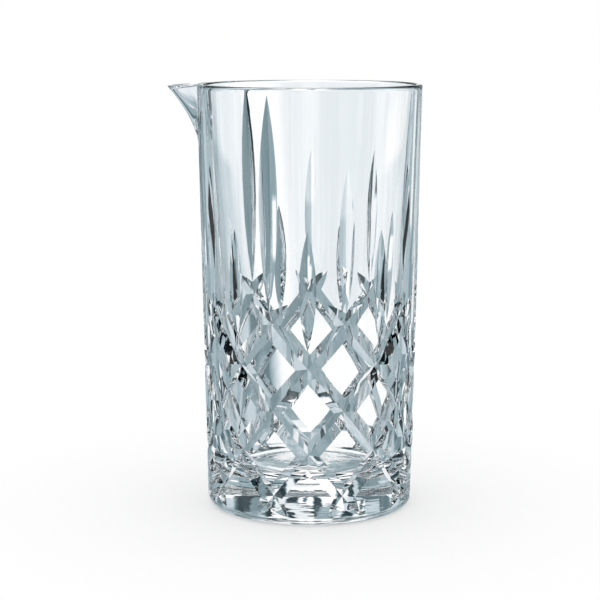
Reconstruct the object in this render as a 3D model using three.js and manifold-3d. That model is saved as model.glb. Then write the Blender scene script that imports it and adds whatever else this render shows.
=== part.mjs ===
// Cocktail mixing glass: a heavy pressed tumbler with a lattice of crossed V grooves, lancet blades
// standing on it, and a pouring lip. Millimetres, +Z up, origin at the middle of the flat underside,
// lip towards -X. The real glass is one piece of pressed glass; its four zones meet on flat planes.
import * as THREE from 'three';
import { mergeVertices } from 'three/addons/utils/BufferGeometryUtils.js';
import Module from 'manifold-3d';

// Body
const GLASS_HEIGHT = 170;
const RIM_RADIUS = 44.8;
const FOOT_RADIUS = 41.5;
const HEEL_RADIUS = 4;
const BASE_THICKNESS = 14;
const FLOOR_FILLET = 12;
const RIM_WALL = 2.4;
const FLOOR_WALL = 8;
const RIM_ROUNDING = 1.2;

// Lattice of grooves that cross on rows of points, one column of crossings every half pitch; the
// pattern stands turned against the lip by an angle in degrees
const PATTERN_TURN = 13;
const GROOVES_EACH_WAY = 9;
const LOWEST_ROW = 11.5;
const ROW_RISE = 17;
const ROW_COUNT = 5;
const GROOVE_WIDTH = 7;
const GROOVE_DEPTH = 2.4;
const LEAF_RISE = 8.5;
const GROOVE_RUN_OUT = 7.5;

// Lancet blades above the lattice: short over the open columns, tall over the top crossings,
// and every third tall one drawn out to just under the rim
const SHORT_BLADE_WIDTH = 6.6;
const SHORT_BLADE_DEPTH = 2.5;
const SHORT_BLADE_BELOW_RIM = 54;
const SHORT_BLADE_ABOVE_CROSSING = 7.3;
const TALL_BLADE_WIDTH = 6.2;
const TALL_BLADE_DEPTH = 1.25;
const TALL_BLADE_BELOW_RIM = 30;
const LONG_BLADE_WIDTH = 7.6;
const LONG_BLADE_DEPTH = 2.6;
const LONG_BLADE_BELOW_RIM = 2.6;
const BLADE_ABOVE_CROSSING = 4.5;
const LONG_BLADE_EVERY = 3;

// Pouring lip, a round-nosed trough drawn out of the wall over a narrow sector
const LIP_REACH = 12.6;
const LIP_DIP = 0.6;
const LIP_DROP = 26;
const LIP_HALF_ANGLE = 12;
const LIP_CHANNEL_HALF_ANGLE = 9;

// Shape of the curves
const LIP_DROP_POWER = 1.75;
const LIP_ARCH_POWER = 4;
const LIP_FLANK_POWER = 0.6;
const SEGMENTS = 80;
const LIP_CROWDING = 0.76;
const ARC_STEPS = 4;
const LIP_STEPS = 6;
const GROOVE_STEPS = 8;
const TAPER_STEPS = 3;
const BLADE_STEPS = 8;
const OVERRUN = 1.04;
const CUT_CLEARANCE = 2;
const ZONE_MARGIN = 1.2;
const BLOCK_MARGIN = 20;

const wasm = await Module();
wasm.setup();

const rad = THREE.MathUtils.degToRad;
const lerp = THREE.MathUtils.lerp;

// Straight outer and inner walls, as radius at a height
const outerTaper = (RIM_RADIUS - FOOT_RADIUS) / GLASS_HEIGHT;
const outerRadius = (z) => FOOT_RADIUS + outerTaper * z;
const floorRadius = outerRadius(BASE_THICKNESS) - FLOOR_WALL;
const innerRadius = (z) =>
  lerp(floorRadius, RIM_RADIUS - RIM_WALL, (z - BASE_THICKNESS) / (GLASS_HEIGHT - BASE_THICKNESS));

// How far the lip stands out at a height and at an angle from its middle
function lipReach(z, angle, halfAngle) {
  const drop = (GLASS_HEIGHT - z) / LIP_DROP;
  const turn = Math.abs(THREE.MathUtils.euclideanModulo(angle + Math.PI, 2 * Math.PI) - Math.PI);
  if (drop >= 1) return 0;
  const side = turn / (rad(halfAngle) * (1 - drop ** LIP_ARCH_POWER));
  if (side >= 1) return 0;
  return LIP_REACH * (1 - drop) ** LIP_DROP_POWER * (1 - side ** 2) ** LIP_FLANK_POWER;
}

// Half profile from the middle of the floor, up the inside, over the rim, down the outside and back
// to the middle of the foot; outer says how far each point is towards the outer wall
function wallProfile() {
  const points = [];
  const add = (radius, z, outer) => points.push({ radius, z, outer });
  const lipBottom = GLASS_HEIGHT - LIP_DROP;
  const shoulder = GLASS_HEIGHT - RIM_ROUNDING;
  add(0, BASE_THICKNESS, 0);
  const filletTop = BASE_THICKNESS + FLOOR_FILLET;
  for (let i = 0; i <= ARC_STEPS; i += 1) {
    const turn = (i / ARC_STEPS) * Math.PI / 2;
    const radius = innerRadius(filletTop) - FLOOR_FILLET * (1 - Math.sin(turn));
    add(radius, filletTop - FLOOR_FILLET * Math.cos(turn), 0);
  }
  const lipLevels = [];
  for (let i = 0; i < LIP_STEPS; i += 1) lipLevels.push(lerp(lipBottom, shoulder, i / LIP_STEPS));
  for (const z of lipLevels) add(innerRadius(z), z, 0);
  for (let i = 0; i <= ARC_STEPS; i += 1) {
    const turn = (i / ARC_STEPS) * Math.PI;
    const outer = (1 - Math.cos(turn)) / 2;
    const z = shoulder + RIM_ROUNDING * Math.sin(turn);
    add(lerp(innerRadius(shoulder), outerRadius(shoulder), outer), z, outer);
  }
  for (const z of lipLevels.reverse()) add(outerRadius(z), z, 1);
  for (let i = 0; i <= ARC_STEPS; i += 1) {
    const turn = (i / ARC_STEPS) * Math.PI / 2;
    const radius = outerRadius(HEEL_RADIUS) - HEEL_RADIUS * (1 - Math.cos(turn));
    add(radius, HEEL_RADIUS * (1 - Math.sin(turn)), 1);
  }
  add(0, 0, 1);
  return points;
}

// A point at an angle from the lip, seen from above, with the front, -Y, at +90 degrees
const polar = (angle, radius, z) =>
  new THREE.Vector3(-radius * Math.cos(angle), -radius * Math.sin(angle), z);

// The uncut glass: a lathed wall whose points are drawn outwards where the lip is
function blankGeometry() {
  const profile = wallProfile();
  const outline = profile.map((p) => new THREE.Vector2(p.radius, p.z));
  const geometry = new THREE.LatheGeometry(outline, SEGMENTS);
  const position = geometry.attributes.position;
  for (let i = 0; i < position.count; i += 1) {
    const { radius, z, outer } = profile[i % profile.length];
    const even = (Math.floor(i / profile.length) / SEGMENTS) * 2 * Math.PI;
    const angle = even - LIP_CROWDING * Math.sin(even);
    const inside = lipReach(z, angle, LIP_CHANNEL_HALF_ANGLE);
    const outside = lipReach(z, angle, LIP_HALF_ANGLE);
    const reach = radius > 0 ? lerp(inside, outside, outer) : 0;
    const point = polar(angle, radius + reach, z - LIP_DIP * reach / LIP_REACH);
    position.setXYZ(i, point.x, point.y, point.z);
  }
  return geometry;
}

// A closed body through triangular sections, with a flat face at each end
function loftGeometry(sections) {
  const corners = sections[0].length;
  const indices = [];
  for (let s = 0; s + 1 < sections.length; s += 1) {
    for (let c = 0; c < corners; c += 1) {
      const here = s * corners + c;
      const next = s * corners + ((c + 1) % corners);
      indices.push(here, next, here + corners, next, next + corners, here + corners);
    }
  }
  const last = (sections.length - 1) * corners;
  for (let c = 1; c + 1 < corners; c += 1) {
    indices.push(0, c + 1, c, last, last + c, last + c + 1);
  }
  const geometry = new THREE.BufferGeometry().setFromPoints(sections.flat());
  return geometry.setIndex(indices);
}

// One triangular section of a V cut: its valley lies depth under the wall, its sides rise at slope,
// and heading is the cut's direction on the wall, from level to upright
function cutSection(angle, z, depth, slope, heading) {
  const radius = outerRadius(z);
  const half = Math.max(depth, 0) / slope + CUT_CLEARANCE / slope;
  const valley = polar(angle, radius - depth, z);
  const along = polar(angle + Math.PI / 2, 1, 0);
  const up = polar(angle, outerTaper, 1);
  const out = polar(angle, slope * half, 0);
  const side = along.multiplyScalar(-Math.sin(heading)).addScaledVector(up, Math.cos(heading));
  const left = valley.clone().add(out).addScaledVector(side, half);
  const right = valley.clone().add(out).addScaledVector(side, -half);
  return [valley, left, right];
}

// Slope of the sides that makes a cut of this depth and width on the round wall
function cutSlope(width, depth, heading) {
  const across = (width / 2) * Math.sin(heading);
  const sagitta = across ** 2 / (2 * RIM_RADIUS);
  return (depth - sagitta) / (width / 2);
}

// A cut's depth along its taper: full at 0, running out of the wall at 1, clear of it beyond
const taperDepth = (depth, share) => depth * (1 - share ** 2);

const columnStep = Math.PI / GROOVES_EACH_WAY;
const columnAngle = (column) => rad(PATTERN_TURN) + column * columnStep;
const topRow = LOWEST_ROW + ROW_RISE * (ROW_COUNT - 1);
const leafTip = topRow + LEAF_RISE;

// A groove through the top crossing of a column, leaning one way: it tapers to a leaf above the
// crossing and runs out at the heel
function grooveGeometry(column, lean) {
  const bottom = LOWEST_ROW - GROOVE_RUN_OUT;
  const heading = Math.atan2(ROW_RISE, lean * columnStep * outerRadius(topRow / 2));
  const slope = cutSlope(GROOVE_WIDTH, GROOVE_DEPTH, heading);
  const stations = [];
  for (let i = TAPER_STEPS; i > 0; i -= 1) {
    const share = (i / TAPER_STEPS) * OVERRUN;
    stations.push([LOWEST_ROW - (LOWEST_ROW - bottom) * share, taperDepth(GROOVE_DEPTH, share)]);
  }
  for (let i = 0; i <= GROOVE_STEPS; i += 1) {
    stations.push([lerp(LOWEST_ROW, topRow, i / GROOVE_STEPS), GROOVE_DEPTH]);
  }
  for (let i = 1; i <= TAPER_STEPS; i += 1) {
    const share = (i / TAPER_STEPS) * OVERRUN;
    stations.push([topRow + LEAF_RISE * share, taperDepth(GROOVE_DEPTH, share)]);
  }
  return loftGeometry(stations.map(([z, depth]) => {
    const angle = columnAngle(column) + lean * columnStep * (z - topRow) / ROW_RISE;
    return cutSection(angle, z, depth, slope, heading);
  }));
}

// An upright lancet cut, deepest at mid height
function bladeGeometry(column, bottom, top, width, depth) {
  const upright = Math.PI / 2;
  const slope = cutSlope(width, depth, upright);
  const sections = [];
  for (let i = 0; i <= BLADE_STEPS; i += 1) {
    const share = OVERRUN * (2 * i / BLADE_STEPS - 1);
    const z = (bottom + top) / 2 + share * (top - bottom) / 2;
    sections.push(cutSection(columnAngle(column), z, taperDepth(depth, share), slope, upright));
  }
  return loftGeometry(sections);
}

function shortBlade(column) {
  const bottom = topRow - ROW_RISE + SHORT_BLADE_ABOVE_CROSSING;
  const top = GLASS_HEIGHT - SHORT_BLADE_BELOW_RIM;
  return bladeGeometry(column, bottom, top, SHORT_BLADE_WIDTH, SHORT_BLADE_DEPTH);
}

function tallBlade(column) {
  const top = GLASS_HEIGHT - TALL_BLADE_BELOW_RIM;
  return bladeGeometry(column, topRow + BLADE_ABOVE_CROSSING, top, TALL_BLADE_WIDTH, TALL_BLADE_DEPTH);
}

function longBlade(column) {
  const top = GLASS_HEIGHT - LONG_BLADE_BELOW_RIM;
  return bladeGeometry(column, topRow + BLADE_ABOVE_CROSSING, top, LONG_BLADE_WIDTH, LONG_BLADE_DEPTH);
}

// A closed geometry as a solid that can be cut, its faces turned outwards
function solidOf(geometry) {
  geometry.deleteAttribute('normal');
  geometry.deleteAttribute('uv');
  const merged = mergeVertices(geometry);
  const corners = merged.index.array;
  const place = merged.attributes.position;
  const triangles = [];
  let volume = 0;
  for (let i = 0; i < corners.length; i += 3) {
    const [a, b, c] = corners.subarray(i, i + 3);
    if (a === b || b === c || c === a) continue;
    triangles.push([a, b, c]);
    const [pa, pb, pc] = [a, b, c].map((v) => new THREE.Vector3().fromBufferAttribute(place, v));
    volume += pa.dot(pb.cross(pc));
  }
  if (volume < 0) triangles.forEach((t) => t.reverse());
  const triVerts = Uint32Array.from(triangles.flat());
  return new wasm.Manifold(new wasm.Mesh({ numProp: 3, vertProperties: place.array, triVerts }));
}

// A plain block between two corners
function block(low, high) {
  const geometry = new THREE.BoxGeometry(1, 1, 1);
  const position = geometry.attributes.position;
  for (let i = 0; i < position.count; i += 1) {
    const pick = (value, axis) => (value < 0 ? low[axis] : high[axis]);
    position.setXYZ(i, pick(position.getX(i), 0), pick(position.getY(i), 1), pick(position.getZ(i), 2));
  }
  return solidOf(geometry);
}

// The whole glass with every groove and blade cut
function cutGlass() {
  let glass = solidOf(blankGeometry());
  for (let column = 0; column < 2 * GROOVES_EACH_WAY; column += 1) {
    const cuts = [];
    if (column % 2 === 0) {
      cuts.push(shortBlade(column));
    } else {
      const drawnOut = column % (2 * LONG_BLADE_EVERY) === LONG_BLADE_EVERY;
      cuts.push(drawnOut ? longBlade(column) : tallBlade(column));
      cuts.push(grooveGeometry(column, 1), grooveGeometry(column, -1));
    }
    for (const cut of cuts) glass = glass.subtract(solidOf(cut));
  }
  return glass;
}

// The four zones of the glass, split on flat planes that their faces share exactly
function zones() {
  const glass = cutGlass();
  const span = RIM_RADIUS + LIP_REACH + BLOCK_MARGIN;
  const latticeTop = leafTip + ZONE_MARGIN;
  const slab = (low, high) => block([-span, -span, low], [span, span, high]);
  const lipSide = RIM_RADIUS * Math.sin(rad(LIP_HALF_ANGLE)) + ZONE_MARGIN;
  const lipLow = GLASS_HEIGHT - LIP_DROP - ZONE_MARGIN;
  const top = GLASS_HEIGHT + BLOCK_MARGIN;
  const lipBlock = block([-span, -lipSide, lipLow], [0, lipSide, top]);
  return {
    heavy_base: glass.intersect(slab(-BLOCK_MARGIN, BASE_THICKNESS)),
    cut_wall: glass.intersect(slab(BASE_THICKNESS, latticeTop)),
    upper_wall: glass.intersect(slab(latticeTop, top)).subtract(lipBlock),
    pouring_lip: glass.intersect(lipBlock),
  };
}

// Clear, faintly cool glass, one material for each zone
const COLOURS = {
  heavy_base: 0xc3d0d6,
  cut_wall: 0xcfdae0,
  upper_wall: 0xe2e9ed,
  pouring_lip: 0xd9e2e7,
};

const mixingGlass = new THREE.Group();
mixingGlass.name = 'mixing_glass';
for (const [name, solid] of Object.entries(zones())) {
  const { vertProperties, triVerts } = solid.getMesh();
  const geometry = new THREE.BufferGeometry();
  geometry.setAttribute('position', new THREE.BufferAttribute(vertProperties, 3));
  geometry.setIndex(new THREE.BufferAttribute(triVerts, 1));
  geometry.computeVertexNormals();
  const material = new THREE.MeshStandardMaterial({ color: COLOURS[name], roughness: 0.04, metalness: 0 });
  const zone = new THREE.Mesh(geometry, material);
  zone.name = name;
  mixingGlass.add(zone);
}

export default mixingGlass;
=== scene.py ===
# %% [markdown]
# A cut stirring glass
# This lesson dresses a imported model of a tall mixing glass: a heavy clear tumbler with a lattice of
# crossed V grooves, lancet blades that stand on it, and a pouring lip. The model comes in as a fixed
# frame in metres, with +Z up and the lip towards -X.

# %% Load the frame
import math

import bpy
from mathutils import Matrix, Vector


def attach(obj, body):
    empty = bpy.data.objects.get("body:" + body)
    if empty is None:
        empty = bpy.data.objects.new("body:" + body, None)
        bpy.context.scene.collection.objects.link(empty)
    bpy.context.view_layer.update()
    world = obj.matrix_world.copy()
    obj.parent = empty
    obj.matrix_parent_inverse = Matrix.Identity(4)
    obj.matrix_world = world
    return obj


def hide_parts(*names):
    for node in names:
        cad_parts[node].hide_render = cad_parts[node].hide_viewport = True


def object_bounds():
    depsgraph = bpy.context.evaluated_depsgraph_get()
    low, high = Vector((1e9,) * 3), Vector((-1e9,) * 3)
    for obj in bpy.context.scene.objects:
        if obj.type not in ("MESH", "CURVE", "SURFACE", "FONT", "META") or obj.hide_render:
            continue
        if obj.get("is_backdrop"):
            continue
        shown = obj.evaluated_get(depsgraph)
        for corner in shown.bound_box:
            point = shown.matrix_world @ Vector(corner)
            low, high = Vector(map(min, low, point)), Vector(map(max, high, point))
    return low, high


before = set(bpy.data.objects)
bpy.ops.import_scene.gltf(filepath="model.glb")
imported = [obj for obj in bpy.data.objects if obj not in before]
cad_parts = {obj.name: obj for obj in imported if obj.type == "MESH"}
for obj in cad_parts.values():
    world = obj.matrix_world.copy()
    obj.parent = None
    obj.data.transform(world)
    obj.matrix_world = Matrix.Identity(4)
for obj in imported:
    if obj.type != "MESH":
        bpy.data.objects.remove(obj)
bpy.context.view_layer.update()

# %% [markdown]
# The camera
# The glass was photographed from a little above its middle, with the lip turned slightly away. The
# distance, height and lens were fitted so that the rim, the foot and the crossings of the grooves
# fall where the picture has them. A small sideways shift puts the axis right of the middle.

# %% Place the camera
MM = 0.001
PICTURE_SIDE = 600
CAMERA_DISTANCE = 709.7 * MM
CAMERA_TARGET = Vector((0, 0, 83.05 * MM))
CAMERA_AZIMUTH = math.radians(4.1)
CAMERA_ELEVATION = math.radians(9.13)
CAMERA_LENS = 105.26
AXIS_RIGHT_OF_MIDDLE = 9.7

toward_camera = Vector((
    math.sin(CAMERA_AZIMUTH) * math.cos(CAMERA_ELEVATION),
    -math.cos(CAMERA_AZIMUTH) * math.cos(CAMERA_ELEVATION),
    math.sin(CAMERA_ELEVATION),
))
camera_data = bpy.data.cameras.new("photo_camera")
camera_data.lens = CAMERA_LENS
camera_data.shift_x = -AXIS_RIGHT_OF_MIDDLE / PICTURE_SIDE
camera = bpy.data.objects.new("photo_camera", camera_data)
camera.location = CAMERA_TARGET + CAMERA_DISTANCE * toward_camera
camera.rotation_euler = (-toward_camera).to_track_quat("-Z", "Y").to_euler()
bpy.context.scene.collection.objects.link(camera)
bpy.context.scene.camera = camera
print("camera stands at", camera.location)

# %% [markdown]
# The blank
# A real blank is pressed from one gob of glass: a thick foot, a straight wall that thins towards the
# rim, and a rounded rim. Its half section is drawn as one line of extruded points from the middle of
# the floor, up the inside, over the rim and down the outside, and the line is spun round the axis.
# A spin gives even rings of faces, which later keep the cuts' edges clean.

# %% Sizes of the blank
GLASS_HEIGHT = 170 * MM
RIM_RADIUS = 44.8 * MM
FOOT_RADIUS = 41.5 * MM
HEEL_RADIUS = 4 * MM
BASE_THICKNESS = 14 * MM
FLOOR_FILLET = 12 * MM
RIM_WALL = 2.4 * MM
FLOOR_WALL = 8 * MM
RIM_ROUNDING = 1.2 * MM
LIP_DROP = 26 * MM
OUTER_TAPER = (RIM_RADIUS - FOOT_RADIUS) / GLASS_HEIGHT


def mixed(first, last, share):
    """The value that lies this share of the way from first to last."""
    return first + (last - first) * share


def outer_radius(z):
    """Radius of the straight outer wall at a height."""
    return FOOT_RADIUS + OUTER_TAPER * z


def inner_radius(z):
    """Radius of the straight inner wall at a height."""
    floor_radius = outer_radius(BASE_THICKNESS) - FLOOR_WALL
    share = (z - BASE_THICKNESS) / (GLASS_HEIGHT - BASE_THICKNESS)
    return mixed(floor_radius, RIM_RADIUS - RIM_WALL, share)


print("mouth is", 2 * inner_radius(GLASS_HEIGHT), "m across")


# %% The half section
ARC_STEPS = 14
WALL_RING = 5 * MM
LIP_RING = 1.2 * MM


def heights(low, high, spacing):
    """Even heights from low to high, about spacing apart, without the last."""
    count = max(1, round((high - low) / spacing))
    return [mixed(low, high, i / count) for i in range(count)]


def half_section():
    """Radius and height of each point from the middle of the floor to the middle of the foot."""
    shoulder = GLASS_HEIGHT - RIM_ROUNDING
    lip_bottom = GLASS_HEIGHT - LIP_DROP
    fillet_top = BASE_THICKNESS + FLOOR_FILLET
    points = [(0, BASE_THICKNESS)]
    for i in range(ARC_STEPS):
        turn = i / ARC_STEPS * math.pi / 2
        reach = inner_radius(fillet_top) - FLOOR_FILLET * (1 - math.sin(turn))
        points.append((reach, fillet_top - FLOOR_FILLET * math.cos(turn)))
    inside = heights(fillet_top, lip_bottom, WALL_RING) + heights(lip_bottom, shoulder, LIP_RING)
    points += [(inner_radius(z), z) for z in inside]
    for i in range(ARC_STEPS + 1):
        turn = i / ARC_STEPS * math.pi
        share = (1 - math.cos(turn)) / 2
        radius = mixed(inner_radius(shoulder), outer_radius(shoulder), share)
        points.append((radius, shoulder + RIM_ROUNDING * math.sin(turn)))
    outside = heights(HEEL_RADIUS, lip_bottom, WALL_RING) + heights(lip_bottom, shoulder, LIP_RING)
    points += [(outer_radius(z), z) for z in reversed(outside)]
    for i in range(1, ARC_STEPS + 1):
        turn = i / ARC_STEPS * math.pi / 2
        radius = outer_radius(HEEL_RADIUS) - HEEL_RADIUS * (1 - math.cos(turn))
        points.append((radius, HEEL_RADIUS * (1 - math.sin(turn))))
    return points + [(0, 0)]


section_points = half_section()
print("half section has", len(section_points), "points")

# %% Draw the section and spin it
LIP_SPIN_ANGLE = math.radians(40)
LIP_SPIN_STEPS = 160
REST_SPIN_STEPS = 320
WELD = 1e-6


def only(piece):
    """Selects one object alone and makes it the active one."""
    bpy.ops.object.select_all(action="DESELECT")
    piece.select_set(True)
    bpy.context.view_layer.objects.active = piece


def edit_all(piece):
    """Opens one object in edit mode with everything selected."""
    only(piece)
    bpy.ops.object.mode_set(mode="EDIT")
    bpy.ops.mesh.select_all(action="SELECT")


def close_up():
    """Merges doubles, turns the faces outwards and leaves edit mode."""
    bpy.ops.mesh.select_all(action="SELECT")
    bpy.ops.mesh.remove_doubles(threshold=WELD)
    bpy.ops.mesh.normals_make_consistent(inside=False)
    bpy.ops.object.mode_set(mode="OBJECT")


def on_wall(angle, radius, z):
    """A point at an angle from the lip, counted anticlockwise from above."""
    return Vector((-radius * math.cos(angle), -radius * math.sin(angle), z))


bpy.ops.object.select_all(action="DESELECT")
bpy.ops.mesh.primitive_plane_add(size=MM)
glass = bpy.context.object
glass.name = "mixing_glass"
edit_all(glass)
bpy.ops.mesh.merge(type="CENTER")
corners = [on_wall(LIP_SPIN_ANGLE / 2, radius, z) for radius, z in section_points]
bpy.ops.transform.translate(value=corners[0])
for here, there in zip(corners, corners[1:]):
    bpy.ops.mesh.extrude_region_move(TRANSFORM_OT_translate={"value": there - here})
bpy.ops.mesh.select_all(action="SELECT")
axis_spin = {"center": (0, 0, 0), "axis": (0, 0, 1)}
bpy.ops.mesh.spin(steps=LIP_SPIN_STEPS, angle=LIP_SPIN_ANGLE, **axis_spin)
bpy.ops.mesh.spin(steps=REST_SPIN_STEPS, angle=2 * math.pi - LIP_SPIN_ANGLE, **axis_spin)
close_up()
print("blank has", len(glass.data.polygons), "faces")

# %% [markdown]
# The pouring lip
# The lip is pulled out of the soft wall with a tool: a trough with a round nose that stands out furthest
# at the rim, where it dips a little, and dies away down the wall under a pointed arch. A proportional
# edit would give a rounded bump without creases at its sides, so each vertex is moved outwards by a
# formula instead, with a narrower channel on the inside.

# %% Draw the lip out of the wall
LIP_REACH = 12.6 * MM
LIP_DIP = 0.6 * MM
LIP_HALF_ANGLE = math.radians(12)
LIP_CHANNEL_HALF_ANGLE = math.radians(9)
LIP_DROP_POWER = 1.75
LIP_ARCH_POWER = 4
LIP_FLANK_POWER = 0.6


def lip_reach(angle, z, half_angle):
    """How far the lip stands out of the round wall at an angle from its middle and a height."""
    drop = (GLASS_HEIGHT - z) / LIP_DROP
    if drop >= 1:
        return 0
    side = abs(angle) / (half_angle * (1 - drop ** LIP_ARCH_POWER))
    if side >= 1:
        return 0
    return LIP_REACH * (1 - drop) ** LIP_DROP_POWER * (1 - side ** 2) ** LIP_FLANK_POWER


drawn = 0
for vertex in glass.data.vertices:
    x, y, z = vertex.co
    radius = math.hypot(x, y)
    if z < GLASS_HEIGHT - LIP_DROP or radius < inner_radius(z) - RIM_WALL:
        continue
    angle = math.atan2(-y, -x)
    share = (radius - inner_radius(z)) / (outer_radius(z) - inner_radius(z))
    inside = lip_reach(angle, z, LIP_CHANNEL_HALF_ANGLE)
    outside = lip_reach(angle, z, LIP_HALF_ANGLE)
    reach = mixed(inside, outside, min(max(share, 0), 1))
    vertex.co = on_wall(angle, radius + reach, z - LIP_DIP * reach / LIP_REACH)
    drawn += reach > 0
print("lip moved", drawn, "vertices")

# %% [markdown]
# The cutting wheel
# Cut glass is cut by a wheel with a V edge. A cut is therefore a V whose sides always lie at the same
# angle, and where the wheel lifts out of the glass the V narrows to a point. Here the wheel's edge is
# a triangle, standing across the cut, that is extruded along the wheel's way in small steps: up, round
# the axis, and out of the wall. The body it leaves behind is then taken from the glass.

# %% A helper that carries a V along a way
CUT_CLEARANCE = 1.3 * MM


def cut_slope(width, depth, heading):
    """Slope of the V's sides that gives a cut of this width and depth on the round wall."""
    across = width / 2 * math.sin(heading)
    sagitta = across ** 2 / (2 * RIM_RADIUS)
    return (depth - sagitta) / (width / 2)


def wheel_cut(name, way, width, depth, heading):
    """A cutter that follows a way of (height, angle, lift out of full depth) with a V edge."""
    slope = cut_slope(width, depth, heading)
    tall = depth + CUT_CLEARANCE
    z, angle, lift = way[0]
    valley = on_wall(angle, outer_radius(z) - depth + lift, z)
    out = on_wall(angle, 1, 0)
    along = on_wall(angle + math.pi / 2, 1, 0)
    up = out * OUTER_TAPER + Vector((0, 0, 1))
    side = up * math.cos(heading) - along * math.sin(heading)
    edge = [valley + out * tall + side * tall / slope, valley, valley + out * tall - side * tall / slope]
    bpy.ops.object.select_all(action="DESELECT")
    bpy.ops.mesh.primitive_circle_add(vertices=3, radius=MM, fill_type="NGON")
    cutter = bpy.context.object
    cutter.name = name
    for vertex, corner in zip(cutter.data.vertices, edge):
        vertex.co = corner
    edit_all(cutter)
    for (z, angle, lift), (next_z, next_angle, next_lift) in zip(way, way[1:]):
        outwards = outer_radius(next_z) - outer_radius(z) + next_lift - lift
        step = on_wall(angle, outwards, next_z - z)
        bpy.ops.mesh.extrude_region_move(TRANSFORM_OT_translate={"value": step})
        bpy.ops.transform.rotate(value=angle - next_angle, orient_axis="Z", center_override=(0, 0, 0))
    close_up()
    return cutter


def ring_of(cutter, angles):
    """Copies a cutter round the axis to these angles, each copy with its own mesh, and joins them."""
    copies = []
    for angle in angles:
        only(cutter)
        bpy.ops.object.duplicate()
        copy = bpy.context.object
        copy.rotation_euler.z = angle
        bpy.ops.object.transform_apply(location=False, rotation=True, scale=False)
        copies.append(copy)
    only(copies[0])
    for copy in copies:
        copy.select_set(True)
    bpy.ops.object.join()
    return bpy.context.object


def cut_away(tool):
    """Takes a cutter out of the glass with a boolean, and deletes the cutter."""
    only(glass)
    modifier = glass.modifiers.new("cut", "BOOLEAN")
    modifier.operation = "DIFFERENCE"
    modifier.solver = "MANIFOLD"
    modifier.object = tool
    bpy.ops.object.modifier_apply(modifier=modifier.name)
    bpy.data.objects.remove(tool)


# %% [markdown]
# The lattice
# Nine grooves lean one way round the glass and nine the other, and they cross on five rows of points.
# Each groove runs out at the heel and ends above the top crossing in a short leaf. One groove is
# modelled and mirrored, and both are copied round. The pattern stands turned a little against the lip.

# %% Model one groove, mirror it and copy both round
PATTERN_TURN = math.radians(13)
GROOVES_EACH_WAY = 9
LOWEST_ROW = 11.5 * MM
ROW_RISE = 17 * MM
ROW_COUNT = 5
GROOVE_WIDTH = 7 * MM
GROOVE_DEPTH = 2.4 * MM
LEAF_RISE = 8.5 * MM
GROOVE_RUN_OUT = 7.5 * MM
GROOVE_STEPS = 64
OVERRUN = 1.04
column_step = math.pi / GROOVES_EACH_WAY
top_row = LOWEST_ROW + ROW_RISE * (ROW_COUNT - 1)


def groove_way():
    """The wheel's way along a groove that leans anticlockwise, with its top crossing at angle 0."""
    low = LOWEST_ROW - GROOVE_RUN_OUT * OVERRUN
    high = top_row + LEAF_RISE * OVERRUN
    way = []
    for i in range(GROOVE_STEPS + 1):
        z = mixed(low, high, i / GROOVE_STEPS)
        taper = max((z - top_row) / LEAF_RISE, (LOWEST_ROW - z) / GROOVE_RUN_OUT, 0)
        way.append((z, column_step * (z - top_row) / ROW_RISE, GROOVE_DEPTH * taper ** 2))
    return way


groove_heading = math.atan2(ROW_RISE, column_step * outer_radius(top_row / 2))
groove = wheel_cut("groove_cut", groove_way(), GROOVE_WIDTH, GROOVE_DEPTH, groove_heading)
crossing_angles = [PATTERN_TURN + column_step * (2 * i + 1) for i in range(GROOVES_EACH_WAY)]
only(groove)
bpy.ops.object.duplicate()
mirrored = bpy.context.object
mirrored.scale.y = -1
bpy.ops.object.transform_apply(location=False, rotation=False, scale=True)
edit_all(mirrored)
close_up()
for leaning in (groove, mirrored):
    cut_away(ring_of(leaning, crossing_angles))
    bpy.data.objects.remove(leaning)
print("lattice cut, glass has", len(glass.data.polygons), "faces")

# %% [markdown]
# The blades
# Above the lattice stand upright lancet cuts of three lengths: short ones between the leaves, tall ones
# over the top crossings, and every third tall one drawn out to just under the rim. The wheel goes in
# and out along an arc, so a blade is deepest and widest at its middle and pointed at both ends.

# %% Model the three blades and copy them round
BLADE_STEPS = 40
BLADE_ABOVE_CROSSING = 4.5 * MM
SHORT_BLADE_ABOVE_CROSSING = 7.3 * MM
LONG_BLADE_EVERY = 3
BLADES = {
    "short": {"width": 6.6 * MM, "depth": 2.5 * MM, "below_rim": 54 * MM},
    "tall": {"width": 6.2 * MM, "depth": 1.25 * MM, "below_rim": 30 * MM},
    "long": {"width": 7.6 * MM, "depth": 2.6 * MM, "below_rim": 2.6 * MM},
}
BLADE_LOW_ENDS = {
    "short": top_row - ROW_RISE + SHORT_BLADE_ABOVE_CROSSING,
    "tall": top_row + BLADE_ABOVE_CROSSING,
    "long": top_row + BLADE_ABOVE_CROSSING,
}


def blade_way(low, high, depth):
    """The wheel's way up an upright blade at angle 0, in and out along an arc."""
    way = []
    for i in range(BLADE_STEPS + 1):
        share = OVERRUN * (2 * i / BLADE_STEPS - 1)
        way.append((mixed(low, high, (share + 1) / 2), 0, depth * share ** 2))
    return way


blade_columns = {"short": [], "tall": [], "long": []}
for column in range(2 * GROOVES_EACH_WAY):
    if column % 2 == 0:
        blade_columns["short"].append(column)
    elif column % (2 * LONG_BLADE_EVERY) == LONG_BLADE_EVERY:
        blade_columns["long"].append(column)
    else:
        blade_columns["tall"].append(column)

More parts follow.
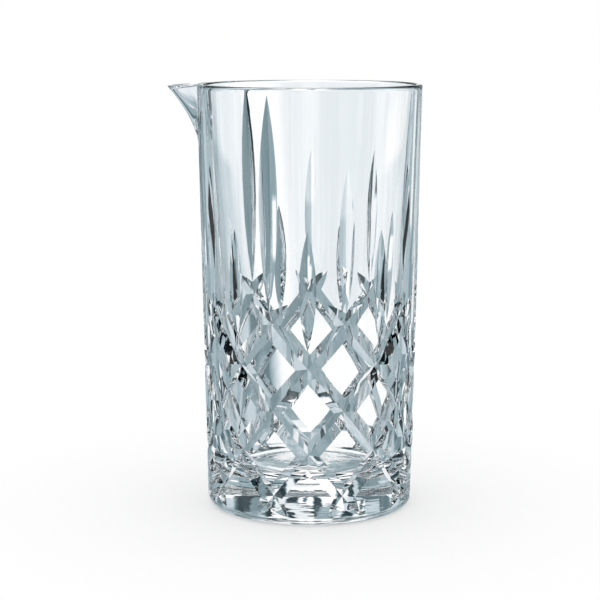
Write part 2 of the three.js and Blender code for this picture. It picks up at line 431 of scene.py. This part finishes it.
blade_rings = []
for kind, size in BLADES.items():
    high = GLASS_HEIGHT - size["below_rim"]
    way = blade_way(BLADE_LOW_ENDS[kind], high, size["depth"])
    blade = wheel_cut(kind + "_blade_cut", way, size["width"], size["depth"], math.pi / 2)
    blade_angles = [PATTERN_TURN + column_step * column for column in blade_columns[kind]]
    blade_rings.append(ring_of(blade, blade_angles))
    bpy.data.objects.remove(blade)
for ring in blade_rings:
    cut_away(ring)
print("blades cut, glass has", len(glass.data.polygons), "faces")

# %% Smooth the round walls and keep the cuts' edges crisp
CRISP_ANGLE = math.radians(14)
only(glass)
bpy.ops.object.shade_smooth_by_angle(angle=CRISP_ANGLE)
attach(glass, "root")
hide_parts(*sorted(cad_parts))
print("glass stands for", len(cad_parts), "nodes of the frame")

# %% [markdown]
# The glass
# Pressed and fire polished soda-lime glass is clear, colourless to the eye in a thin wall and faintly
# cool in a thick base. Its index of refraction is about 1.52. The polish is bright, so what shows is
# what the walls and facets bend and mirror. The plunger leaves low waves on the floor inside, where the
# glass chills first, and the walls come out much flatter. The bump is therefore deep only where the
# surface faces up.

# %% Pressed glass, fire polished
GLASS_IOR = 1.52
WAVE_LENGTH = 6 * MM
FLOOR_FACING = 0.3
FLOOR_WAVE_HEIGHT = 0.12 * MM
WALL_WAVE_HEIGHT = 0.008 * MM


def linear(hex_colour):
    """A six-digit sRGB hex colour as linear red, green, blue and 1."""
    channels = [int(hex_colour[i:i + 2], 16) / 255 for i in (0, 2, 4)]
    return tuple(c / 12.92 if c <= 0.04045 else ((c + 0.055) / 1.055) ** 2.4 for c in channels) + (1,)


def add_node(tree, kind, inputs=None, stops=None, **settings):
    """Adds a node with its settings, feeds its inputs with values or sockets, and fills a ramp."""
    node = tree.nodes.new(kind)
    for name, value in settings.items():
        setattr(node, name, value)
    for name, value in (inputs or {}).items():
        if isinstance(value, bpy.types.NodeSocket):
            tree.links.new(value, node.inputs[name])
        else:
            node.inputs[name].default_value = value
    for i, (position, colour) in enumerate(stops or []):
        if i >= len(node.color_ramp.elements):
            node.color_ramp.elements.new(1.0)
        node.color_ramp.elements[i].position = position
        node.color_ramp.elements[i].color = colour
    return node


def pressed_glass():
    """Clear pressed glass, fire polished: bright, colourless and faintly wavy."""
    material = bpy.data.materials.new("pressed_glass_fire_polished")
    material.use_nodes = True
    tree = material.node_tree
    tree.nodes.clear()
    place = add_node(tree, "ShaderNodeTexCoord")
    facing = add_node(tree, "ShaderNodeSeparateXYZ", {0: place.outputs["Normal"]})
    wave_height = add_node(tree, "ShaderNodeMapRange", {
        0: facing.outputs["Z"], 1: FLOOR_FACING, 2: 1.0, 3: WALL_WAVE_HEIGHT, 4: FLOOR_WAVE_HEIGHT})
    waves = add_node(tree, "ShaderNodeTexNoise", {
        "Vector": place.outputs["Object"], "Scale": 1 / WAVE_LENGTH, "Detail": 1.0})
    surface = add_node(tree, "ShaderNodeBump", {
        "Strength": 1.0, "Distance": wave_height.outputs[0], "Height": waves.outputs[0]})
    shader = add_node(tree, "ShaderNodeBsdfPrincipled", {
        "Base Color": linear("ffffff"),
        "Roughness": 0.0,
        "IOR": GLASS_IOR,
        "Transmission Weight": 1.0,
        "Normal": surface.outputs["Normal"],
    })
    add_node(tree, "ShaderNodeOutputMaterial", {"Surface": shader.outputs["BSDF"]})
    return material


glass.data.materials.clear()
glass.data.materials.append(pressed_glass())
print("glass is", glass.data.materials[0].name)

# %% [markdown]
# The floor
# The glass stands on a matt white table. The table's own colour takes the soft shadow of the glass, and
# a little white that only the camera sees lifts it to the white of the backdrop, so no horizon shows.
# The glass doesn't see this table: the lowest bands of the studio stand in for it there.

# %% Lay a matt white table top
FLOOR_RADIUS = 3.0
FLOOR_SIDES = 96
FLOOR_COLOUR = "c8c8c8"
FLOOR_LIFT = 0.45


def matt_white_table():
    """A matt white table top: painted board, with no gloss, that takes a soft shadow."""
    material = bpy.data.materials.new("matt_white_table")
    material.use_nodes = True
    tree = material.node_tree
    tree.nodes.clear()
    path = add_node(tree, "ShaderNodeLightPath")
    matt = add_node(tree, "ShaderNodeBsdfDiffuse", {"Color": linear(FLOOR_COLOUR)})
    lift = add_node(tree, "ShaderNodeMath", {
        0: path.outputs["Is Camera Ray"], 1: FLOOR_LIFT}, operation="MULTIPLY")
    white = add_node(tree, "ShaderNodeEmission", {"Strength": lift.outputs[0]})
    both = add_node(tree, "ShaderNodeAddShader", {0: matt.outputs[0], 1: white.outputs[0]})
    add_node(tree, "ShaderNodeOutputMaterial", {"Surface": both.outputs[0]})
    return material


bpy.ops.object.select_all(action="DESELECT")
bpy.ops.mesh.primitive_circle_add(vertices=FLOOR_SIDES, radius=FLOOR_RADIUS, fill_type="NGON")
floor = bpy.context.object
floor.name = "floor"
floor.data.materials.append(matt_white_table())
floor.visible_transmission = False
floor.visible_glossy = False
floor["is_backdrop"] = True
print("table is", 2 * FLOOR_RADIUS, "m across")

# %% [markdown]
# The studio
# Clear glass has no colour of its own: it shows what stands round it, bent. A glass is therefore lit by
# white panels with grey and black gaps, because a facet that bends a gap into view draws its own shape.
# Here the room round the glass is split into four like sectors, so that the glass reads from every side.
# The first one's middle lies behind the glass as the camera sees it. A sector is built up of bands from
# the table to the ceiling, and a band is a row of plain strips. The white panel in the middle has dark
# frames, with a grey wall and a dimmer panel on its left and two narrow panels on its right, and black
# flags hang from the gantry above it. The darker a grey is, the cooler it looks. The camera itself and
# the matt table see plain white instead: only what the glass bends or mirrors sees the panels.

# %% Greys of the strips
BLACK = 0.03
CHARCOAL = 0.14
DIM = 0.23
DARK_GREY = 0.33
GREY = 0.41
PALE = 0.6
BRIGHT = 0.82
WHITE = 1
print("greys run from", BLACK, "to", WHITE)

# %% Strips of each band
# A strip has its left and right edge, in degrees aside from the sector's middle, and its grey. A sector
# reaches from -45 to 45 degrees, and the gaps between strips blend.
UNDER_TABLE = [(-45, -30, WHITE), (-29, -12, BLACK), (-11, 9, WHITE), (10, 30, BLACK), (31, 45, WHITE)]
LIT_TABLE = [
    (-45, -38, CHARCOAL), (-35, -24, PALE), (-22, -20, GREY), (-5, 2.5, WHITE), (5, 7, GREY),
    (10, 36, DARK_GREY), (39, 45, CHARCOAL),
]
FAR_TABLE = [
    (-45, -38, CHARCOAL), (-34, -9, PALE), (-7, -2.2, GREY), (-1.4, 1.2, WHITE), (2.2, 3, GREY),
    (5, 35, DARK_GREY), (38, 45, CHARCOAL),
]
FOOT_OF_PANELS = [
    (-45, -33, GREY), (-31, -24.5, DIM), (-23, -14, GREY), (-11, -8.2, PALE), (-7.4, -5, CHARCOAL),
    (-3, 19, WHITE), (20, 33, DARK_GREY), (36, 45, GREY),
]
LOW_PANELS = [
    (-45, -42, GREY), (-36, -30.6, PALE), (-29.6, -17, DIM), (-10, -9, PALE), (-7, -6, BRIGHT),
    (-5, -2, WHITE), (-1, 20.6, BRIGHT), (21, 22, DARK_GREY), (22.4, 24, WHITE), (24.4, 25, DARK_GREY),
    (26.5, 31, CHARCOAL), (33, 37, WHITE), (39.5, 45, GREY),
]
PANELS = [
    (-45, -37, GREY), (-35, -31.6, PALE), (-29.6, -22, DIM), (-20, -17.3, GREY), (-16.6, -15.4, BLACK),
    (-14, -12, PALE), (-10, -5, BRIGHT), (-4, -2, WHITE), (-1, 6, BRIGHT), (8, 12, WHITE),
    (13, 18.6, BRIGHT), (19.2, 20.4, BLACK), (21, 25, DARK_GREY), (27, 45, GREY),
]
WALL = [
    (-45, -42, GREY), (-37, -29, DARK_GREY), (-27, -15, DIM), (-14, -8.6, BLACK), (-8, 9, WHITE),
    (10, 14, BLACK), (15, 36, DARK_GREY), (42, 45, GREY),
]
HIGH_WALL = [
    (-45, -17, GREY), (-16, -9, BLACK), (-8, 8, WHITE), (9, 17, BLACK), (18.4, 20, PALE),
    (22, 36, DARK_GREY), (42, 45, GREY),
]
GANTRY = [
    (-45, -42, PALE), (-41, -33, CHARCOAL), (-32, -24, PALE), (-23, -15.5, BLACK), (-14.5, -5, WHITE),
    (-4.4, -1.8, BLACK), (-1, 4, WHITE), (5, 9, BLACK), (10, 13, BRIGHT), (14, 17, BLACK),
    (19, 25.5, DIM), (26.5, 35, BLACK), (38, 45, PALE),
]
HIGH_GANTRY = [
    (-45, -42, WHITE), (-41, -24, CHARCOAL), (-22.6, -20, PALE), (-19, -15.5, BLACK), (-14.5, -5, WHITE),
    (-4.4, -1.8, BLACK), (-1, 0.8, WHITE), (1.3, 2.4, CHARCOAL), (2.8, 4, WHITE), (5, 9, BLACK),
    (10, 13, BRIGHT), (14, 18, BLACK), (19, 25, DIM), (26, 38, BLACK), (39.5, 45, WHITE),
]
CEILING = [(-45, 45, DIM)]
TOP_LIGHT = [(-45, 45, WHITE)]
print("the main panels' band has", len(PANELS), "strips")

# %% Bands of the studio, each from the height where it starts, in degrees above the horizon
SECTORS = 4
SECTOR = 2 * math.pi / SECTORS
SECTOR_START = -SECTOR / 2
SECTOR_END = SECTOR / 2
BAND_BLEND = 0.3
PANEL_STRENGTH = 1.12
FORWARD = math.atan2(-toward_camera.y, -toward_camera.x)
BANDS = {
    -90: UNDER_TABLE, -50: LIT_TABLE, -28: FAR_TABLE, -17: FOOT_OF_PANELS, -12: LOW_PANELS, -7.6: PANELS,
    -1.7: WALL, 5: HIGH_WALL, 13: GANTRY, 17.8: HIGH_GANTRY, 55.5: CEILING, 72: TOP_LIGHT,
}
COOL_GREYS = {0: "05080f", 0.056: "2f474d", 0.284: "7f959c", 0.56: "b9c8cf", 0.783: "e0e6ea", 1: "ffffff"}


def ramp_stops(strips):
    """A ramp's stops for a row of strips: two for each, so that the gaps between them blend."""
    stops = []
    for left, right, grey in strips:
        for edge in (left, right):
            position = (math.radians(edge) - SECTOR_START) / SECTOR
            stops.append((position, (grey, grey, grey, 1)))
    return stops


print("studio has", SECTORS, "sectors of", len(BANDS), "bands")

# %% Light the studio
world = bpy.data.worlds.new("studio")
bpy.context.scene.world = world
world.use_nodes = True
tree = world.node_tree
tree.nodes.clear()
coords = add_node(tree, "ShaderNodeTexCoord")
xyz = add_node(tree, "ShaderNodeSeparateXYZ", {0: coords.outputs["Generated"]})
turn = add_node(tree, "ShaderNodeMath", {0: xyz.outputs["Y"], 1: xyz.outputs["X"]}, operation="ARCTAN2")
aside = add_node(tree, "ShaderNodeMath", {0: FORWARD, 1: turn.outputs[0]}, operation="SUBTRACT")
in_sector = add_node(tree, "ShaderNodeMath", {
    0: aside.outputs[0], 1: SECTOR_END, 2: SECTOR_START}, operation="WRAP")
aside_share = add_node(tree, "ShaderNodeMapRange", {
    0: in_sector.outputs[0], 1: SECTOR_START, 2: SECTOR_END})
rise = add_node(tree, "ShaderNodeMath", {0: xyz.outputs["Z"]}, operation="ARCSINE")
level = 0.0
for height, strips in BANDS.items():
    above = add_node(tree, "ShaderNodeMapRange", {
        0: rise.outputs[0], 1: math.radians(height - BAND_BLEND), 2: math.radians(height + BAND_BLEND)})
    band = add_node(tree, "ShaderNodeValToRGB", {0: aside_share.outputs[0]}, stops=ramp_stops(strips))
    level = add_node(tree, "ShaderNodeMix", {0: above.outputs[0], 2: level, 3: band.outputs[0]}).outputs[0]
tint = add_node(tree, "ShaderNodeValToRGB", {0: level}, stops=[
    (position, linear(colour)) for position, colour in COOL_GREYS.items()])
path = add_node(tree, "ShaderNodeLightPath")
in_glass = add_node(tree, "ShaderNodeMath", {
    0: path.outputs["Is Transmission Ray"], 1: path.outputs["Is Glossy Ray"]}, operation="MAXIMUM")
studio = add_node(tree, "ShaderNodeBackground", {"Color": tint.outputs[0], "Strength": PANEL_STRENGTH})
white = add_node(tree, "ShaderNodeBackground", {"Color": (1, 1, 1, 1), "Strength": 1.0})
seen = add_node(tree, "ShaderNodeMixShader", {
    0: in_glass.outputs[0], 1: white.outputs[0], 2: studio.outputs[0]})
add_node(tree, "ShaderNodeOutputWorld", {"Surface": seen.outputs[0]})
print("studio is lit by", len(tree.nodes), "nodes")

# %% View settings, with enough bounces for light that is mirrored on inside the thick wall
MIRROR_BOUNCES = 6
bpy.context.scene.view_settings.view_transform = "Standard"
bpy.context.scene.cycles.glossy_bounces = MIRROR_BOUNCES
print("light is mirrored on up to", MIRROR_BOUNCES, "times")

low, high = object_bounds()
print("visual box:", low, high)
